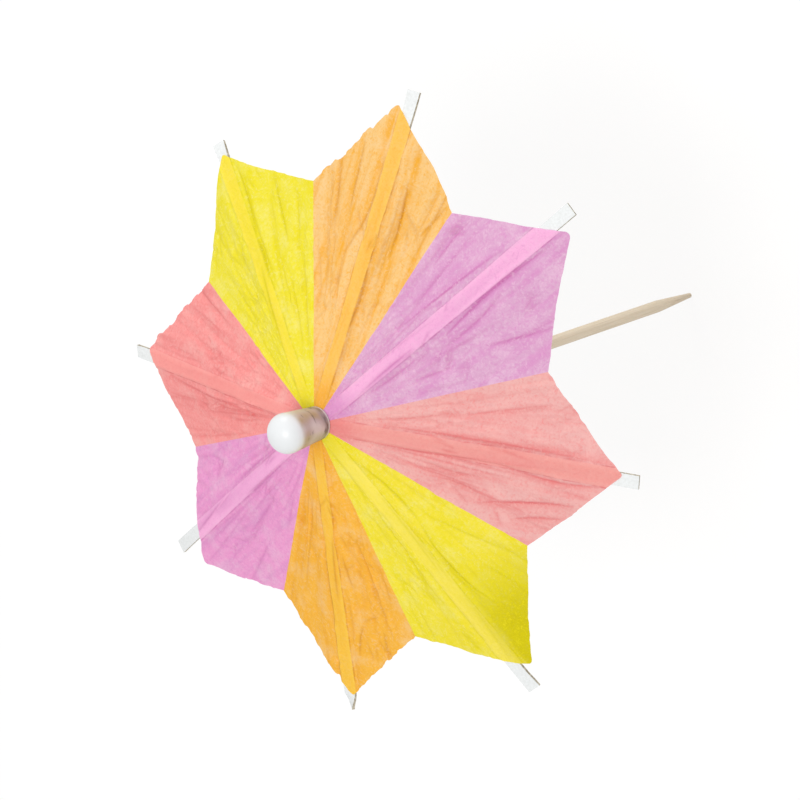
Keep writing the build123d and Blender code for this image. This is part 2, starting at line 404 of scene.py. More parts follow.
def flatCoordinates(rib, plan):
    # distance along and across the rib of points seen from above, and the height of the rib's plane there
    up, start = rib["up"], rib["start"]
    height = start.z - ((plan[..., 0] - start.x) * up.x + (plan[..., 1] - start.y) * up.y) / up.z
    offset = np.stack([plan[..., 0] - start.x, plan[..., 1] - start.y, height - start.z], -1)
    return offset @ np.array(rib["along"]), offset @ np.array(rib["across"]), height


def splitAtRib(rib, edge):
    y = flatCoordinates(rib, edge)[1]
    i = int(np.argmax(y > 0))
    share = -y[i - 1] / (y[i] - y[i - 1])
    exitPoint = edge[i - 1] + (edge[i] - edge[i - 1]) * share
    return {1: np.vstack([exitPoint[None], edge[i:]]), -1: np.vstack([exitPoint[None], edge[:i][::-1]])}


def evenly(line, count):
    run = np.concatenate([[0], np.cumsum(np.linalg.norm(np.diff(line, axis=0), axis=1))])
    at = np.linspace(0, run[-1], count)
    return np.stack([np.interp(at, run, line[:, i]) for i in range(2)], -1)


def field(function, *coordinates):
    shape = coordinates[0].shape
    flat = np.stack([np.broadcast_to(c, shape).ravel() for c in coordinates], -1)
    return np.array([function(Vector(p)) for p in flat]).reshape(shape)


def facets(point):
    near = noise.voronoi(point)[0]
    return near[1] - near[0]


# the clearest creases of each gore in mm: start and end, each along and across the rib, bow, depth, darkness
# of the painted shade in the fold
clearCreases = {
    1: [(5.9, 1.3, 39.7, 1.6, 0.25, 0.14, 0.8), (19.1, 1.2, 35.1, 2.4, -0.15, 0.10, 0.55),
        (2.1, -0.7, 23.0, -0.6, -0.55, 0.16, 0.8), (23.0, -0.6, 38.7, -1.4, -0.95, 0.16, 0.8),
        (13.6, -2.9, 22.3, -3.1, -0.25, 0.10, 0.5), (20.7, -7.1, 34.6, -4.9, 0.25, 0.16, 1.0),
        (25.1, -8.8, 32.7, -7.3, 0.35, 0.12, 0.8), (23.4, -7.6, 24.7, -10.5, -0.15, 0.08, 0.5),
        (21.8, 5.3, 29.7, 7.5, -0.05, 0.08, 0.35), (17.0, -5.9, 20.3, -4.5, 0.15, 0.08, 0.35)],
    2: [(19.0, -2.2, 39.1, -1.9, 0.65, 0.20, 1.3), (23.3, -6.3, 31.9, -10.0, -0.1, 0.12, 1.0),
        (14.9, 2.8, 33.4, 1.8, 0.15, 0.12, 1.0), (23.6, 6.4, 31.2, 8.0, 0.1, 0.10, 0.8),
        (5.5, -0.7, 16.0, -0.6, 0.1, 0.12, 0.8), (18.7, -3.0, 30.5, -2.4, -0.55, 0.12, 0.8)],
    3: [(21.6, -3.2, 32.7, -3.0, -0.15, 0.16, 1.2), (20.3, 3.7, 35.3, 1.7, -1.3, 0.12, 0.8),
        (25.6, 4.6, 36.0, 5.7, 0.05, 0.12, 0.8), (22.8, 6.9, 32.1, 9.1, -0.3, 0.14, 0.8),
        (25.4, -6.4, 30.6, -9.1, 0.0, 0.12, 0.8), (28.5, -6.1, 32.1, -7.1, -0.05, 0.08, 0.4),
        (10.8, -0.9, 19.9, -1.2, -0.1, 0.14, 0.8)],
    4: [(26.6, -1.2, 37.3, -1.9, -0.15, 0.22, 1.3), (19.8, -0.9, 26.6, -1.2, -0.1, 0.18, 1.2),
        (22.6, -5.5, 33.1, -6.8, 0.15, 0.20, 1.2), (10.6, 0.7, 22.5, -0.3, 0.2, 0.14, 0.9),
        (20.4, 2.5, 28.8, 2.5, 0.3, 0.10, 0.5)],
    5: [(13.5, 2.3, 34.1, 1.7, 0.45, 0.18, 0.8), (19.7, 3.6, 23.7, 2.8, 0.15, 0.12, 0.5),
        (26.9, 3.9, 34.5, 4.5, 0.15, 0.10, 0.4), (25.5, -2.2, 35.9, -2.5, -0.15, 0.10, 0.3)],
    6: [(16.6, 1.7, 36.1, 1.4, 0.2, 0.10, 0.4), (11.4, 2.3, 18.0, 2.7, 0.1, 0.10, 0.4),
        (10.6, -1.8, 23.2, -3.2, -0.05, 0.10, 0.3)],
    7: [(18.7, 1.9, 24.1, 2.8, -0.2, 0.12, 0.7), (29.9, 3.7, 35.6, 2.6, -0.2, 0.12, 0.8),
        (30.2, 6.7, 35.1, 6.9, 0.0, 0.12, 0.7), (27.9, 6.2, 29.5, 3.7, -0.15, 0.12, 0.5),
        (27.2, 5.9, 28.0, 7.3, 0.0, 0.10, 0.3), (26.1, 6.8, 26.6, 7.8, 0.2, 0.08, 0.3),
        (22.0, 5.7, 26.2, 6.4, -0.2, 0.08, 0.35), (15.9, 0.6, 26.9, 0.2, -0.15, 0.14, 0.6)],
    8: [(4.2, 0.5, 16.8, 2.9, 0.65, 0.20, 1.2), (16.8, 2.9, 33.0, 4.8, -1.8, 0.22, 1.3),
        (16.8, 4.2, 28.8, 11.7, -0.1, 0.12, 0.7), (24.5, -4.5, 27.5, -4.5, 0.0, 0.08, 0.6),
        (26.3, 6.1, 32.4, 8.7, 0.15, 0.14, 0.9), (22.3, 1.6, 30.7, 3.2, -0.55, 0.16, 0.9)],
}

# the finer creases are drawn by lot; mm, radians and shares, each from a least to a most
longCrease = {
    "seed": 400, "count": 30, "last": 41.0, "rootAway": 0.75,
    "begin": (3, 27), "length": (6, 20), "lean": (0.0, 0.38), "drift": (-0.05, 0.05), "depth": (0.06, 0.22),
    "bow": (-0.35, 0.35), "slope": (0.35, 1.1), "darkMark": (0.1, 1.0), "foldShadePower": 1.6, "foldShadeShare": 0.65,
}
crowsFoot = {
    "count": 6, "toes": 6, "behind": 0.4, "ahead": 0.6,
    "along": (12, 34), "lean": (0.08, 0.34), "turn": (-0.8, 0.8), "length": (1.2, 4.0), "depth": (0.07, 0.19),
    "bow": (-0.12, 0.12), "slope": (0.1, 0.28), "darkMark": (0.15, 0.5), "spread": (-1.4, 1.4),
}
creaseMake = {
    "lineWidth": 0.18,  # mm, of the dark line, painted shade in the fold
    "foldWidth": 0.28,  # mm, of the steep side
    "clearSlope": 0.8,  # mm, of the gentle side of the clearest creases
    "endPower": 0.6,
    "endFade": 0.3,  # mm past either end
    "notchCalm": (0.86, 1.0),  # of the way from a rib to a notch, where the creases fade out
    "hubShare": 0.35,  # of them that is left at the hub
}


def creaseLines(k):
    # long creases that fan out from the hub, short crossed ones where the paper was pinched, and the clearest
    dice = np.random.default_rng(longCrease["seed"] + k)
    lines = []
    make = longCrease
    for i in range(make["count"]):
        side = 1 if i % 2 else -1
        begin = dice.uniform(*make["begin"])
        end = min(make["last"], begin + dice.uniform(*make["length"]))
        lean = side * dice.uniform(*make["lean"])
        drift = dice.uniform(*make["drift"])
        root = side * make["rootAway"]
        lines.append({
            "from": (begin, root + lean * begin),
            "to": (end, root + (lean + drift) * end),
            "depth": dice.uniform(*make["depth"]),
            "bow": dice.uniform(*make["bow"]),
            "shadedSide": dice.choice([-1, 1]),
            "slope": dice.uniform(*make["slope"]),
            "darkMark": make["foldShadeShare"] * dice.uniform(*make["darkMark"]) ** make["foldShadePower"],
        })
    make = crowsFoot
    for _ in range(make["count"]):
        centre = np.array([dice.uniform(*make["along"]), 0.0])
        centre[1] = dice.choice([-1, 1]) * dice.uniform(*make["lean"]) * centre[0]
        for _ in range(make["toes"]):
            turn = dice.uniform(*make["turn"])
            step = np.array([cos(turn), sin(turn)]) * dice.uniform(*make["length"])
            lines.append({
                "from": tuple(centre - step * make["behind"]),
                "to": tuple(centre + step * make["ahead"]),
                "depth": dice.uniform(*make["depth"]),
                "bow": dice.uniform(*make["bow"]),
                "shadedSide": dice.choice([-1, 1]),
                "slope": dice.uniform(*make["slope"]),
                "darkMark": dice.uniform(*make["darkMark"]),
            })
            centre = centre + dice.uniform(*make["spread"], 2)
    for x0, y0, x1, y1, bow, depth, darkMark in clearCreases[k]:
        away = 1 if y0 + y1 > 0 else -1  # shaded away from the rib
        lines.append({"from": (x0, y0), "to": (x1, y1), "depth": depth, "bow": bow, "shadedSide": away,
                      "slope": creaseMake["clearSlope"], "darkMark": darkMark})
    return lines


def creaseMarks(lines, xm, ym):
    # depth of the creases in mm at points of the flat sheet, and how dark the painted shade of their lines
    # and shaded sides is
    make = creaseMake
    fold, darkMark, shaded = np.zeros_like(xm), np.zeros_like(xm), np.zeros_like(xm)
    for line in lines:
        a, b = np.array(line["from"], float), np.array(line["to"], float)
        length = np.linalg.norm(b - a)
        run = (b - a) / length
        t = ((xm - a[0]) * run[0] + (ym - a[1]) * run[1]) / length
        inside = np.clip(t, 0, 1)
        away = (ym - a[1]) * run[0] - (xm - a[0]) * run[1] - line["bow"] * np.sin(pi * inside)
        beyond = np.abs(t - inside) * length
        fade = np.sin(pi * inside) ** make["endPower"] * np.exp(-(beyond / make["endFade"]) ** 2)
        facing = away * line["shadedSide"]
        steep = np.exp(-(away / make["foldWidth"]) ** 2)
        gentle = np.where(facing > 0, np.exp(-facing / line["slope"]), 0)
        fold = fold - line["depth"] * fade * np.maximum(gentle, steep)
        darkMark = np.maximum(darkMark, line["darkMark"] * fade * np.exp(-(away / make["lineWidth"]) ** 2))
        shaded = np.maximum(shaded, line["darkMark"] * fade * gentle)
    return fold, darkMark, shaded


sheetMake = {
    "rows": 140,  # from the hub to the cut edge
    "columns": 72,  # from a rib to a notch
    "leastStep": 0.35,  # of the mean step between two columns at the cut edge
    "leastWidth": 10 * mm,  # the narrowest that a sheet can be
    "eye": 1.95 * mm,
    "lift": -0.02 * mm,  # of the paper over a rib, from the plane that the pleats turn in
    "fallsBy": 0.45,  # of the way to the notch, where the paper reaches the flat face between two ribs
    "belly": 0.45 * mm,  # sag of the slack paper at a notch
    "bellyRadius": 31 * mm,
    "bellyMost": 1.2,
    "calmHub": (3 * mm, 16 * mm),  # the paper is pulled smooth round the hub
    "bend": 0.15 * mm,  # width that a pleat bends over when it folds
}
reliefMake = {  # heights in metres, sizes in mm; round counts turns of the noise about the hub
    "waves": {"height": 0.24 * mm, "round": 6.5, "along": 13},
    "ripples": {"height": 0.10 * mm, "round": 21, "along": 8, "hubShare": 0.3},
    "crumple": {"height": 0.34 * mm, "round": 14, "along": 3.5, "level": 0.3},
    "crumpleFine": {"share": 0.5, "round": 31, "along": 1.7, "place": 5},
    "patch": {"size": 7, "place": 4.2, "levels": (-0.25, 0.45), "least": 0.3},  # crumpled more or less
    "grain": {"height": 0.022 * mm, "size": 0.75, "place": 8.8, "least": 0.4},
}
grooveMake = {  # dip beside a rib, deeper and shallower along it
    "depth": 0.30 * mm,
    "width": 0.45,  # mm
    "past": 0.3,  # mm, past the tent
    "from": (0.3, 0.4),  # of the tent where it starts, and mm past the tent where it is in full
    "uneven": (0.55, 0.75),
    "least": 0.1,
    "count": 0.22,  # per mm along the rib
    "calmHub": (2.5 * mm, 9 * mm),
}
gluedMake = {  # over the card the paper lies flat and can't sink in
    "looseFrom": (-0.15 * mm, 0.35 * mm),
    "share": 0.12,
    "deepest": 0.03 * mm,
    "freeDeepest": 2 * mm,
    "freeFrom": (0.05 * mm, 0.6 * mm),
}


def sheetGrid(rib, side, edge):
    # rows from the hub to the cut edge, columns from the rib to the notch, seen from above
    columns = sheetMake["columns"]
    ribAzimuth = rib["azimuth"]
    notchAzimuth = radians(notchAt(rib["number"], side)[0])
    outer = evenly(edge, columns + 1)
    turn = (notchAzimuth - ribAzimuth + pi) % (2 * pi) - pi
    fan = ribAzimuth + turn * np.linspace(0, 1, columns + 1)
    # a nick in the cut edge may not fold the paper over itself, so each column ends past the one before
    bearing = side * ((np.arctan2(outer[:, 1], outer[:, 0]) - ribAzimuth + pi) % (2 * pi) - pi)
    least = sheetMake["leastStep"] * (bearing[-1] - bearing[0]) / columns * np.arange(columns + 1)
    bearing = ribAzimuth + side * (np.maximum.accumulate(bearing - least) + least)
    outer = np.linalg.norm(outer, axis=1)[:, None] * np.stack([np.cos(bearing), np.sin(bearing)], -1)
    inner = np.stack([np.cos(fan), np.sin(fan)], -1) * sheetMake["eye"]
    share = np.linspace(0, 1, sheetMake["rows"] + 1)[:, None, None]
    return inner[None] + share * (outer - inner)[None]


def paperRelief(plan, radius, grow):
    # waves, ripples and crumples, the same on both sides of every shared edge
    azimuth = np.arctan2(plan[..., 1], plan[..., 0])
    r, px, py = radius / mm, plan[..., 0] / mm, plan[..., 1] / mm
    ca, sa = np.cos(azimuth), np.sin(azimuth)
    make = reliefMake["waves"]
    wave = field(noise.noise, ca * make["round"], sa * make["round"], r / make["along"])
    relief = make["height"] * wave * grow
    make = reliefMake["ripples"]
    ripple = field(noise.noise, ca * make["round"], sa * make["round"], r / make["along"])
    relief = relief + make["height"] * ripple * (make["hubShare"] + (1 - make["hubShare"]) * grow)
    make = reliefMake["patch"]
    patch = field(noise.noise, px / make["size"], py / make["size"], r * 0 + make["place"])
    patch = smooth(patch, *make["levels"])
    patchy = make["least"] + patch
    make = reliefMake["crumpleFine"]
    fine = field(facets, ca * make["round"], sa * make["round"], r / make["along"] + make["place"])
    fineShare = make["share"]
    make = reliefMake["crumple"]
    crumple = field(facets, ca * make["round"], sa * make["round"], r / make["along"]) + fineShare * fine
    relief = relief + make["height"] * (crumple - make["level"]) * patchy * grow
    make = reliefMake["grain"]
    grain = field(noise.noise, px / make["size"], py / make["size"], r * 0 + make["place"])
    return relief + make["height"] * grain * (make["least"] + patch)


def ribGroove(rib, side, x, past, radius):
    # x along the rib and past its edge
    make = grooveMake
    tent = goreLooks[rib["number"]]["tent"]
    xm, pastMm = x / mm, past / mm
    dip = field(noise.noise, xm * make["count"], side * np.ones_like(xm) * 3.3, xm * 0 + rib["number"] * 1.9)
    level, swing = make["uneven"]
    depth = make["depth"] * np.clip(level + swing * dip, make["least"], 1) * smooth(radius, *make["calmHub"])
    across = np.exp(-((pastMm - tent - make["past"]) / make["width"]) ** 2)
    early, late = make["from"]
    return depth * across * smooth(pastMm, tent * early, tent + late)


def sheetFaces(side):
    rows, columns = sheetMake["rows"], sheetMake["columns"]
    wide = columns + 1
    faces = []
    for i in range(rows):
        for j in range(columns):
            a = i * wide + j
            quad = (a, a + wide, a + wide + 1, a + 1)
            faces.append(quad if side > 0 else quad[::-1])
    return faces


def halfGore(rib, side, edge, lines, material):
    k = rib["number"]
    plan = sheetGrid(rib, side, edge)
    radius = np.linalg.norm(plan, axis=-1)
    x, y, ribHeight = flatCoordinates(rib, plan)
    half = rib["halfRoot"] + rib["taper"] * x
    past = np.abs(y) - half
    notchAzimuth = radians(notchAt(k, side)[0])
    notchLine = np.stack([np.cos(notchAzimuth) * radius, np.sin(notchAzimuth) * radius], -1)
    notchAway = np.abs(flatCoordinates(rib, notchLine)[1])
    reach = np.clip(past / np.maximum(notchAway - half, 1e-6), 0, 1)  # 0 at the rib, 1 at the notch
    # from the rib down to the flat face between two ribs, sagging towards the notch
    middle = rib["azimuth"] + side * pi / ribCount
    faceHeight = apexHeight - faceFall * (plan[..., 0] * cos(middle) + plan[..., 1] * sin(middle))
    off = smooth(reach, 0, sheetMake["fallsBy"])
    height = ribHeight * (1 - off) + faceHeight * off + sheetMake["lift"]
    flatPoints = np.concatenate([plan, height[..., None]], -1)
    slack = np.clip(radius / sheetMake["bellyRadius"], 0, sheetMake["bellyMost"])
    height = height - sheetMake["belly"] * slack * (1 - (1 - reach) ** 2)
    # crumples and creases
    grow = smooth(radius, *sheetMake["calmHub"])
    xm, ym = x / mm, y / mm
    fold, darkMark, shaded = creaseMarks(lines, xm, ym)
    hubShare = creaseMake["hubShare"]
    still = (1 - smooth(reach, *creaseMake["notchCalm"])) * (hubShare + (1 - hubShare) * grow)
    fold, darkMark, shaded = fold * mm * still, darkMark * still, shaded * still
    share = gluedMake["share"] + (1 - gluedMake["share"]) * smooth(past, *gluedMake["looseFrom"])
    sway = (paperRelief(plan, radius, grow) + fold) * share - ribGroove(rib, side, x, past, radius)
    deepest = -gluedMake["deepest"] - gluedMake["freeDeepest"] * smooth(past, *gluedMake["freeFrom"])
    height = height + np.maximum(sway, deepest)
    points = np.concatenate([plan, height[..., None]], -1)
    word = "left" if side > 0 else "right"
    piece = meshPiece(f"tissue_gore_{k}_{word}", points.reshape(-1, 3), sheetFaces(side), [material])
    # painted shade of the creases, in the fold line and on the shaded side
    for name, values in (("creaseFoldShade", darkMark), ("creaseShade", shaded)):
        layer = piece.data.attributes.new(name, "FLOAT", "POINT")
        layer.data.foreach_set("value", values.astype(np.float32).ravel())
    layer = piece.data.uv_layers.new(name="cutPattern")
    corners = np.zeros(len(piece.data.loops), np.int32)
    piece.data.loops.foreach_get("vertex_index", corners)
    flatMap = np.stack([xm.ravel(), ym.ravel()], -1)
    layer.data.foreach_set("uv", flatMap[corners].astype(np.float32).ravel())
    # flat size of the cut
    d1 = flatPoints[1:, 1:] - flatPoints[:-1, :-1]
    d2 = flatPoints[1:, :-1] - flatPoints[:-1, 1:]
    area = float(np.linalg.norm(np.cross(d1, d2), axis=-1).sum() / 2)
    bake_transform(piece)
    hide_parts(f"tissue_panel_{k}_{word}", f"tissue_strip_{k}")
    return area


tissueArea = 0.0
for rib in ribs:
    k = rib["number"]
    paper = tissuePaper(goreLooks[k], f"tissuePaper_{goreLooks[k]['dye']}_{k}")
    halves = splitAtRib(rib, cutEdge(rib))
    lines = creaseLines(k)
    for side in (1, -1):
        tissueArea += halfGore(rib, side, halves[side], lines, paper)
print("tissue star:", round(tissueArea * 1e4, 1), "cm2 in", 2 * ribCount, "half gores")


# White card, die cut: ribs and stretchers are strips of it, the collars are rolled from it.

cardMake = {
    "face": "#dee0e0",
    "faceShade": "#d5d7d6",
    "cut": "#bdb4a2",
    "cutDark": "#8c8371",
    "fibre": 0.35,  # mm, drawn coarser than the real 0.05 so that it shows
    "pulp": 0.4,  # mm, drawn coarser too
    "ribThick": 0.4 * mm,
    "ribLength": 43.7 * mm,
    "ribRoot": -0.15 * mm,
    "ribRings": (24, 12),  # on the glued length and on the free end
    "ribEndFrom": (4 * mm, 3.6 * mm),  # where the one stops and the other starts, before the end
    "freeEnd": 2.6 * mm,  # the length that twists
    "pleatGap": 0.05 * mm,  # from the rib to the edge that a pleat turns on
    "tissueOver": 0.1 * mm,
    "stretcherThick": 0.3 * mm,
    "stretcherHalf": 0.5 * mm,
    "stretcherRings": 18,
    "stretcherBow": 0.10 * mm,
}
# free end of each rib: length cut off or left on in mm, twist in degrees, lift in mm
ribEnds = {1: (-0.8, 4, 0.0), 2: (0.4, -3, 0.1), 3: (0.3, 6, 0.2), 4: (-1.4, 14, 0.1),
           5: (-1.8, -8, 0.1), 6: (0.9, 5, -0.1), 7: (1.4, 42, 0.0), 8: (0.7, -6, -0.1)}


def cardStrip(name, rings, materials):
    # rings have four corners each, top left, top right, bottom right, bottom left
    points = [p for ring in rings for p in ring]
    faces, slots = [], []
    for i in range(len(rings) - 1):
        a, b = 4 * i, 4 * i + 4
        for j in range(4):  # face, cut side, face, cut side
            n = (j + 1) % 4
            faces.append((a + j, a + n, b + n, b + j))
            slots.append(j % 2)
    last = 4 * (len(rings) - 1)
    faces += [(3, 2, 1, 0), (last, last + 1, last + 2, last + 3)]
    slots += [1, 1]
    return meshPiece(name, points, faces, materials, slots, smooth=False)


# uncoated white card: matt, faint cloudy fibres
card = grainFinish(
    "whiteCard", {"Scale": 1 / (cardMake["fibre"] * mm), "Detail": 5.0, "Roughness": 0.6},
    [(0.35, cardMake["faceShade"]), (0.62, cardMake["face"])],
    bump=(0.2, 0.03), Roughness=0.78, Specular_IOR_Level=0.3)
# cut edge of the card: the grey-brown pulp inside, rough and streaked
cut = grainFinish(
    "cutCardPulp", {"Scale": 1 / (cardMake["pulp"] * mm), "Detail": 5.0},
    [(0.38, cardMake["cutDark"]), (0.6, cardMake["cut"])],
    bump=(0.5, 0.05), Roughness=0.9, Specular_IOR_Level=0.2)

top = -cardMake["tissueOver"]
bottom = top - cardMake["ribThick"]
middle = (top + bottom) / 2
for rib in ribs:
    k = rib["number"]
    trim, twist, lift = ribEnds[k]
    length = cardMake["ribLength"] + trim * mm
    stop, restart = (length - back for back in cardMake["ribEndFrom"])
    gluedRings, freeRings = cardMake["ribRings"]
    rings = []
    for x in np.concatenate([np.linspace(cardMake["ribRoot"], stop, gluedRings),
                             np.linspace(restart, length, freeRings)]):
        half = rib["halfRoot"] - cardMake["pleatGap"] + rib["taper"] * x
        free = smooth(x, length - cardMake["freeEnd"], length)
        turn = radians(twist) * free
        ring = []
        for y, z in ((half, top), (-half, top), (-half, bottom), (half, bottom)):
            z = z - middle
            ring.append(onRib(rib, x, y * cos(turn) - z * sin(turn),
                              middle + y * sin(turn) + z * cos(turn) + lift * mm * free))
        rings.append(ring)
    piece = cardStrip(f"card_rib_{k}", rings, [card, cut])
    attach(piece, f"rib_{k}")
    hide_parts(f"rib_{k}")

lowCrease = Vector(joints["runner_crease_fold"]["pos_m"])
for rib in ribs:
    k = rib["number"]
    low = Matrix.Rotation(rib["azimuth"], 3, "Z") @ lowCrease
    joint = joints[f"stretcher_{k}_fold"]
    high, hinge = Vector(joint["pos_m"]), Vector(joint["axis"]).normalized()
    run = high - low
    up = run.normalized().cross(hinge).normalized()
    half, thick = hinge * cardMake["stretcherHalf"], up * (cardMake["stretcherThick"] / 2)
    rings = []
    for t in np.linspace(0, 1, cardMake["stretcherRings"]):
        centre = low + run * t + up * cardMake["stretcherBow"] * sin(pi * t) * (-1) ** k
        rings.append([centre + half + thick, centre - half + thick,
                      centre - half - thick, centre + half - thick])
    piece = cardStrip(f"card_stretcher_{k}", rings, [card, cut])
    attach(piece, f"stretcher_{k}")
    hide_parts(f"stretcher_{k}")
print("card strips:", 2 * ribCount)


# Newsprint rolled inside the runner, its spiral shows at both ends

rollMake = {
    "darkMark": "#6d645a",
    "paperDull": "#b5a793",
    "paperLight": "#cbbfae",
    "smudge": 0.9,  # mm
    "paper": 0.055 * mm,
    "turns": 4,
    "steps": 40,
    "clearance": 0.06 * mm,
    "inset": 0.02 * mm,
    "uneven": 0.12 * mm,  # of the ends of the roll
}

# cheap grey-brown newsprint with soft ink smudges, no letters
newsprint = grainFinish(
    "newsprint", {"Scale": 1 / (rollMake["smudge"] * mm), "Detail": 4.0, "Distortion": 0.6},
    [(0.36, rollMake["darkMark"]), (0.5, rollMake["paperDull"]), (0.7, rollMake["paperLight"])],
    Roughness=0.9, Specular_IOR_Level=0.15)

rollLow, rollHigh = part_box("runner_roll")
stickLow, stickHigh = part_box("pick")
rollInside = (stickHigh.x - stickLow.x) / 2 + rollMake["clearance"]
rollOutside = (rollHigh.x - rollLow.x) / 2
halfPaper = rollMake["paper"] / 2
count = rollMake["turns"] * rollMake["steps"]
rings = []
for i in range(count + 1):
    turn = 2 * pi * i / rollMake["steps"]
    middle = rollInside + halfPaper + (rollOutside - rollInside - rollMake["paper"]) * i / count
    inset = rollMake["inset"] + abs(rollMake["uneven"] * noise.noise((turn * 0.9, 2.2, 0)))
    outer, inner = middle + halfPaper, middle - halfPaper
    top, bottom = rollHigh.z - inset, rollLow.z + inset
    rings.append([Vector((cos(turn) * r, sin(turn) * r, z)) for r, z in
                  ((outer, top), (inner, top), (inner, bottom), (outer, bottom))])
roll = cardStrip("newsprint_roll", rings, [newsprint, newsprint])
roll.data.polygons.foreach_set("use_smooth", [True] * len(roll.data.polygons))
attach(roll, "runner")
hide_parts("runner_roll")
print("newsprint roll:", rollMake["turns"], "turns")


# Birch stick, cap and ring keep their solids and get their finish here

birchMake = {
    "light": "#dccfbb",
    "middle": "#d5c7b0",
    "dark": "#bdad92",
    "fibreWidth": 0.13,  # mm, drawn coarser than the real 0.03 so that it shows
    "fibreLength": 9.0,
}

# turned birch, unvarnished: straight pale fibres with short darker flecks, dull
fibreWide, fibreLong = 1 / (birchMake["fibreWidth"] * mm), 1 / (birchMake["fibreLength"] * mm)
birch = grainFinish(
    "birch", {"Scale": 1.0, "Detail": 4.0, "Roughness": 0.6},
    [(0.28, birchMake["dark"]), (0.44, birchMake["middle"]), (0.66, birchMake["light"])],
    stretch=(fibreWide, fibreWide, fibreLong), bump=(0.3, 0.03), Roughness=0.68, Specular_IOR_Level=0.3)

capLow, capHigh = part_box("finial_cap")
capMake = {
    "white": "#d9dbdc",
    "pale": "#cfc5bf",
    "clouded": "#b9aaa3",
    "gold": "#a9946e",
    # colour of the print marks seen through the wall, and of the painted shade band above the rim
    "darkMark": "#62594e",
    # painted highlight along the edge of the rim
    "rim": "#cdcac2",
    "cloud": 3.2,  # mm, size of the soft tones
    "mark": 1.1,  # mm, size of the ink marks
    "markStretch": (0.7, 0.7, 1.6),  # they lie along the roll, so they are wider than high
    "markLevels": (0.58, 0.68),
    "markShare": 0.75,
    "ripple": 2.5,  # mm, of the moulded surface
    "drift": (0.16, -0.08),  # by how much the borders below waver
    "milkFrom": (0.60, 0.76),  # share of the cap's height from the rim; above it is solid and milk white
    "bandFrom": (0.20, 0.09),  # shares too, painted shade darker from here down to the rim
    "bandShare": 0.9,
    "bandLevels": (0.35, 0.6),
    "bandFaded": (0.35, 1.0),
    "lipHighlightFrom": (0.045, 0.02),
}


def capPlastic():
    # moulded polyethylene: soft gloss, milk white where solid, newsprint shows through the thin wall
    make = capMake
    material, tree, shader = newMaterial("milkyPolyethylene", Roughness=0.42, IOR=1.51,
                                         Coat_Weight=0.05, Coat_Roughness=0.2)
    place = addNode(tree, "TexCoord").outputs["Object"]
    parts = addNode(tree, "SeparateXYZ", inputs={0: place})
    rise = addNode(tree, "MapRange", inputs={0: parts.outputs["Z"], 1: capLow.z, 2: capHigh.z})
    cloud = addNode(tree, "TexNoise", inputs={
        "Vector": place, "Scale": 1 / (make["cloud"] * mm), "Detail": 1.5})
    tone = addNode(tree, "ValToRGB", inputs={0: cloud},
                   stops=[(0.32, make["gold"]), (0.48, make["clouded"]), (0.68, make["pale"])])
    laid = addNode(tree, "Mapping", inputs={0: place, "Scale": make["markStretch"]})
    mark = addNode(tree, "TexNoise", inputs={"Vector": laid, "Scale": 1 / (make["mark"] * mm), "Detail": 3.0})
    markAmount = addNode(tree, "MapRange", inputs={0: mark, (1, 2): make["markLevels"], 4: make["markShare"]})
    marked = addNode(tree, "Mix", colourMix, {0: markAmount, 6: tone, 7: make["darkMark"]})
    drift = addNode(tree, "Math", multiplyAdd, {0: cloud, (1, 2): make["drift"]})
    shifted = addNode(tree, "Math", add, {0: rise, 1: drift})
    # painted shade: dark broken band just above the rim; painted highlight: the paler lip below it
    shadeBand = addNode(tree, "MapRange", eased, {0: shifted, (1, 2): make["bandFrom"], 4: make["bandShare"]})
    bandBroken = addNode(tree, "MapRange", inputs={
        0: mark, (1, 2): make["bandLevels"], (3, 4): make["bandFaded"]})
    bandAmount = addNode(tree, "Math", multiply, {0: shadeBand, 1: bandBroken})
    bandShaded = addNode(tree, "Mix", colourMix, {0: bandAmount, 6: marked, 7: make["darkMark"]})
    lipHighlight = addNode(tree, "MapRange", eased, {0: rise, (1, 2): make["lipHighlightFrom"]})
    rimmed = addNode(tree, "Mix", colourMix, {0: lipHighlight, 6: bandShaded, 7: make["rim"]})
    milk = addNode(tree, "MapRange", eased, {0: shifted, (1, 2): make["milkFrom"]})
    colour = addNode(tree, "Mix", colourMix, {0: milk, 6: rimmed, 7: make["white"]})
    ripple = addNode(tree, "TexNoise", inputs={
        "Vector": place, "Scale": 1 / (make["ripple"] * mm), "Detail": 2.0})
    bump = addNode(tree, "Bump", inputs={"Strength": 0.15, "Distance": 0.1 * mm, "Height": ripple})
    plug(tree, shader, {"Base Color": colour, "Normal": bump})
    return material


ringMake = {
    "milky": "#dcd8cf",
    "clear": "#f3f1ec",
    "lineWidth": 0.25,  # mm
    "lineLength": 4.0,
}

# slice of soft clear tubing: milky at the cut, faint draw lines
lineWide, lineLong = 1 / (ringMake["lineWidth"] * mm), 1 / (ringMake["lineLength"] * mm)
tubing = grainFinish(
    "clearTubing", {"Scale": 1.0, "Detail": 3.0}, [(0.3, ringMake["milky"]), (0.7, ringMake["clear"])],
    stretch=(lineWide, lineWide, lineLong), Roughness=0.28, IOR=1.52, Transmission_Weight=0.35)

finishes = {"pick": birch, "finial_cap": capPlastic(), "retaining_ring": tubing, "crown_roll": newsprint}
for name, node in frame["nodes"].items():
    if node.hide_render:
        continue
    node.data.materials.clear()
    node.data.materials.append(finishes.get(name, card))
for name in ("pick", "finial_cap"):
    frame["nodes"][name].data.shade_smooth()
print("finishes set")


# Pale floor, soft studio light, camera

studio = {
    "floor": "#f7f7f5",
    "floorHalf": 3,  # metres
    "whiteness": 0.85,  # of the floor as the camera sees it, the rest is its lit paint with the shadow
    "sky": 0.72,
    "white": (1, 1, 1, 1),
}

